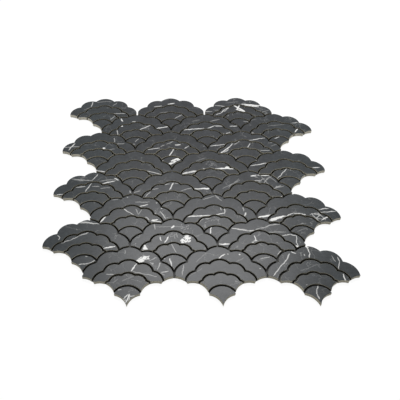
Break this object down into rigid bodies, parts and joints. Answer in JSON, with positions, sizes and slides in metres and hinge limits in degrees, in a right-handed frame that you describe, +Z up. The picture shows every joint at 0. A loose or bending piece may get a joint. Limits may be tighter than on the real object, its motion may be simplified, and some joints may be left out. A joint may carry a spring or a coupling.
{
  "type": "self-adhesive mosaic tile sheet",
  "caption": "Self-adhesive mosaic tile sheet with interlocking scalloped fans, each cut into crescent chips with a dark marble look, on an adhesive backing with a release liner.",
  "frame": {"origin": "middle of the underside of the sheet, on the release liner", "axes": "+X to the right along the rows of fans, +Y away from the front row, towards the side that the round tops of the fans face, +Z up out of the chips' faces"},
  "size_m": [0.2968, 0.3002, 0.0043],
  "materials": {
    "chip": "satin black marble-look face with pale veins, on an olive-grey stone-plastic body",
    "adhesive": "matt black pressure-sensitive adhesive film",
    "liner": "smooth siliconised release paper"
  },
  "bodies": {
    "root": {"release_liner": "liner", "adhesive_backing": "adhesive", "outer_chips_row_1": "chip", "middle_chips_row_1": "chip", "inner_chips_row_1": "chip", "base_chips_row_1": "chip", "outer_chips_row_2": "chip", "middle_chips_row_2": "chip", "inner_chips_row_2": "chip", "base_chips_row_2": "chip", "outer_chips_row_3": "chip", "middle_chips_row_3": "chip", "inner_chips_row_3": "chip", "base_chips_row_3": "chip", "outer_chips_row_4": "chip", "middle_chips_row_4": "chip", "inner_chips_row_4": "chip", "base_chips_row_4": "chip", "outer_chips_row_5": "chip", "middle_chips_row_5": "chip", "inner_chips_row_5": "chip", "base_chips_row_5": "chip", "outer_chips_row_6": "chip", "middle_chips_row_6": "chip", "inner_chips_row_6": "chip", "base_chips_row_6": "chip", "outer_chips_row_7": "chip", "middle_chips_row_7": "chip", "inner_chips_row_7": "chip", "base_chips_row_7": "chip", "outer_chips_row_8": "chip", "middle_chips_row_8": "chip", "inner_chips_row_8": "chip", "base_chips_row_8": "chip"}
  },
  "joints": []
}
